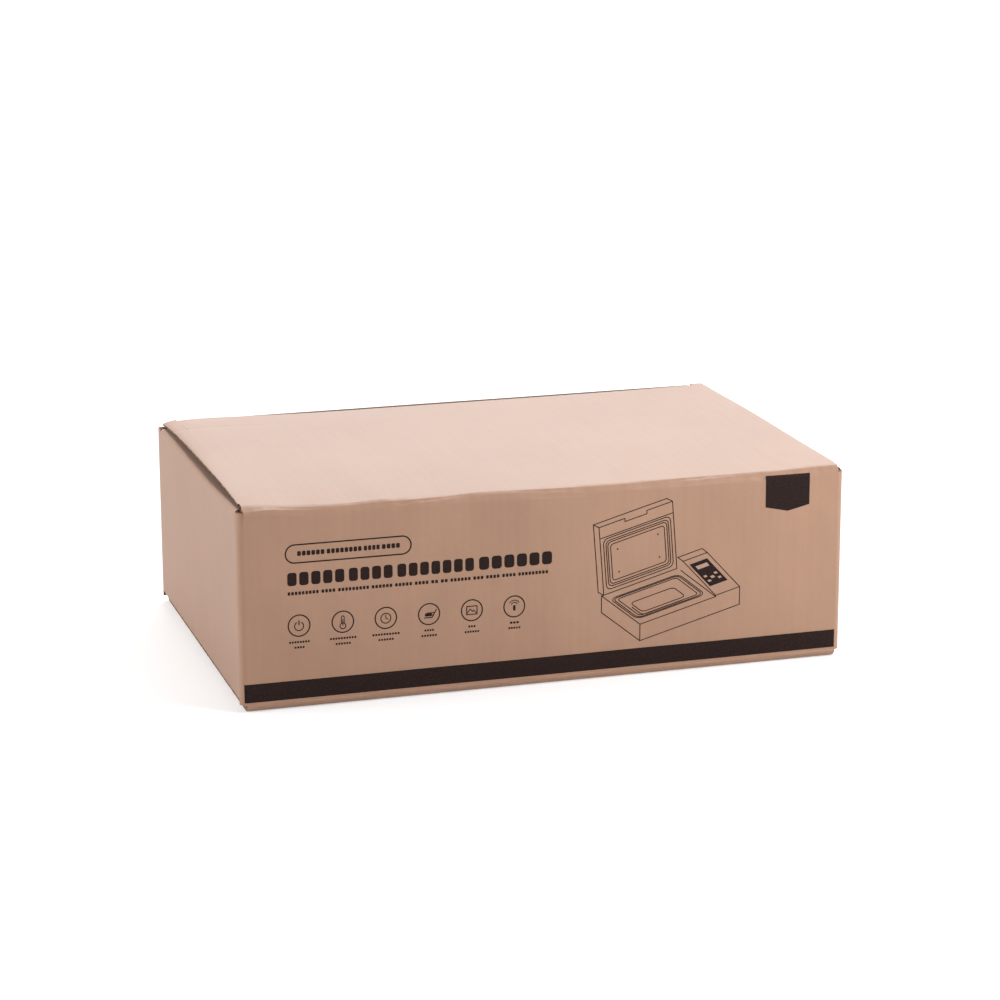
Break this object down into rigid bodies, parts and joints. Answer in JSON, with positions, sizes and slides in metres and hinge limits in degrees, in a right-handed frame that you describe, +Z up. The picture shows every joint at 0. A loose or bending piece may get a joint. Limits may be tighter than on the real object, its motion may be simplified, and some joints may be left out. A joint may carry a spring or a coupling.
{
  "type": "boxed vacuum sublimation press",
  "caption": "Closed tuck-top corrugated carton with a clamshell vacuum sublimation press packed in foam inside it.",
  "frame": {"origin": "middle of the carton's underside, on the floor", "axes": "+X along the printed front wall to the right, +Y from the printed wall to the back, +Z up"},
  "size_m": [0.45, 0.2924, 0.1462],
  "materials": {
    "kraft_board": "natural kraft liner, fine vertical flute lines, dark printed front",
    "hot_melt": "waxy hot melt glue",
    "white_foam": "closed-cell polyethylene foam, matt",
    "charcoal_shell": "fine textured moulding",
    "white_shell": "satin moulding",
    "black_rubber": "matt rubber",
    "zinc_steel": "zinc plated",
    "bright_sheet": "brushed sheet metal",
    "mould_aluminium": "machined aluminium",
    "red_silicone": "satin silicone",
    "brass_fitting": "turned brass",
    "clear_hose": "milky silicone tube",
    "panel_black": "printed polyester film",
    "display_red": "dark red window",
    "key_grey": "satin key cap",
    "circuit_board": "green solder mask",
    "black_plastic": "moulded black plastic",
    "motor_steel": "drawn steel",
    "valve_blue": "moulded plastic",
    "rocker_red": "gloss moulded plastic",
    "element_steel": "heat-tinted steel",
    "ceramic_fibre": "ceramic fibre blanket",
    "amber_silicone": "thin clear amber silicone",
    "black_frame": "black powder coat",
    "thermostat_ceramic": "glazed ceramic and tin"
  },
  "bodies": {
    "carton": {"front_wall": "kraft_board", "back_wall": "kraft_board", "left_wall": "kraft_board", "right_wall": "kraft_board", "glue_tab": "kraft_board", "bottom_flap_front": "kraft_board", "bottom_flap_back": "kraft_board", "bottom_flap_left": "kraft_board", "bottom_flap_right": "kraft_board", "bottom_glue": "hot_melt", "foam_cap_left": "white_foam", "foam_cap_right": "white_foam", "lower_shell": "charcoal_shell", "upper_shell": "white_shell", "rubber_feet": "black_rubber", "case_screws": "zinc_steel", "chamber_basin": "bright_sheet", "platen": "bright_sheet", "phone_mould": "mould_aluminium", "chamber_gasket": "red_silicone", "vacuum_port": "brass_fitting", "vacuum_hose": "clear_hose", "control_overlay": "panel_black", "display_window": "display_red", "control_board": "circuit_board", "power_board": "circuit_board", "pump_head": "black_plastic", "pump_motor": "motor_steel", "valve_body": "valve_blue", "fan_frame": "black_plastic", "power_inlet": "black_plastic", "switch_body": "black_plastic", "hinge_brackets": "zinc_steel"},
    "carton_lid": {"lid_panel": "kraft_board", "lid_pad": "white_foam"},
    "tuck_flap": {"tuck_flap": "kraft_board"},
    "dust_flap_left": {"dust_flap_left": "kraft_board"},
    "dust_flap_right": {"dust_flap_right": "kraft_board"},
    "machine_lid": {"press_lid_shell": "white_shell", "lid_frame": "bright_sheet", "heater_plate": "mould_aluminium", "heating_element": "element_steel", "insulation_pad": "ceramic_fibre", "lid_screws": "zinc_steel", "membrane": "amber_silicone", "membrane_frame": "black_frame", "thermostat": "thermostat_ceramic", "lid_handle": "charcoal_shell", "hinge_leaves": "zinc_steel", "hinge_pins": "zinc_steel"},
    "key_power": {"key_power": "key_grey"},
    "key_set": {"key_set": "key_grey"},
    "key_up": {"key_up": "key_grey"},
    "key_down": {"key_down": "key_grey"},
    "key_start": {"key_start": "key_grey"},
    "switch_rocker": {"switch_rocker": "rocker_red"},
    "fan_rotor": {"fan_rotor": "black_plastic"},
    "pump_eccentric": {"pump_eccentric": "motor_steel"},
    "valve_plunger": {"valve_plunger": "motor_steel"}
  },
  "joints": [
    {"name": "carton_lid_hinge", "type": "hinge", "parent": "carton", "child": "carton_lid", "pos_m": [0, -0.14625, 0.1437], "axis": [1, 0, 0], "range_deg": [0, 200]},
    {"name": "tuck_flap_crease", "type": "hinge", "parent": "carton_lid", "child": "tuck_flap", "pos_m": [0, 0.14045, 0.1437], "axis": [1, 0, 0], "range_deg": [0, 60]},
    {"name": "dust_flap_left_crease", "type": "hinge", "parent": "carton", "child": "dust_flap_left", "pos_m": [-0.225, 0, 0.1384], "axis": [0, -1, 0], "range_deg": [0, 100]},
    {"name": "dust_flap_right_crease", "type": "hinge", "parent": "carton", "child": "dust_flap_right", "pos_m": [0.225, 0, 0.1384], "axis": [0, 1, 0], "range_deg": [0, 100]},
    {"name": "machine_lid_hinge", "type": "hinge", "parent": "carton", "child": "machine_lid", "pos_m": [0.026, -0.10125, 0.0829], "axis": [1, 0, 0], "range_deg": [0, 95]},
    {"name": "key_power_press", "type": "slide", "parent": "carton", "child": "key_power", "axis": [0, -0.1557, -0.9878], "range_m": [0, 0.0006], "stiffness_N_per_m": 300},
    {"name": "key_set_press", "type": "slide", "parent": "carton", "child": "key_set", "axis": [0, -0.1557, -0.9878], "range_m": [0, 0.0006], "stiffness_N_per_m": 300},
    {"name": "key_up_press", "type": "slide", "parent": "carton", "child": "key_up", "axis": [0, -0.1557, -0.9878], "range_m": [0, 0.0006], "stiffness_N_per_m": 300},
    {"name": "key_down_press", "type": "slide", "parent": "carton", "child": "key_down", "axis": [0, -0.1557, -0.9878], "range_m": [0, 0.0006], "stiffness_N_per_m": 300},
    {"name": "key_start_press", "type": "slide", "parent": "carton", "child": "key_start", "axis": [0, -0.1557, -0.9878], "range_m": [0, 0.0006], "stiffness_N_per_m": 300},
    {"name": "switch_rock", "type": "hinge", "parent": "carton", "child": "switch_rocker", "pos_m": [-0.042, -0.10875, 0.0489], "axis": [0, 0, 1], "range_deg": [0, 16]},
    {"name": "fan_spin", "type": "hinge", "parent": "carton", "child": "fan_rotor", "pos_m": [-0.153, -0.09375, 0.0574], "axis": [0, 1, 0], "continuous": true},
    {"name": "pump_spin", "type": "hinge", "parent": "carton", "child": "pump_eccentric", "pos_m": [-0.157, 0.01425, 0.0504], "axis": [0, 1, 0], "continuous": true},
    {"name": "valve_lift", "type": "slide", "parent": "carton", "child": "valve_plunger", "axis": [0, 0, 1], "range_m": [0, 0.002], "stiffness_N_per_m": 100}
  ],
  "couplings": [
    {"joint": "tuck_flap_crease", "follows": "carton_lid_hinge", "ratio": 0.3},
    {"joint": "dust_flap_left_crease", "follows": "carton_lid_hinge", "ratio": 0.5},
    {"joint": "dust_flap_right_crease", "follows": "carton_lid_hinge", "ratio": 0.5},
    {"joint": "machine_lid_hinge", "follows": "carton_lid_hinge", "ratio": 0.475}
  ]
}
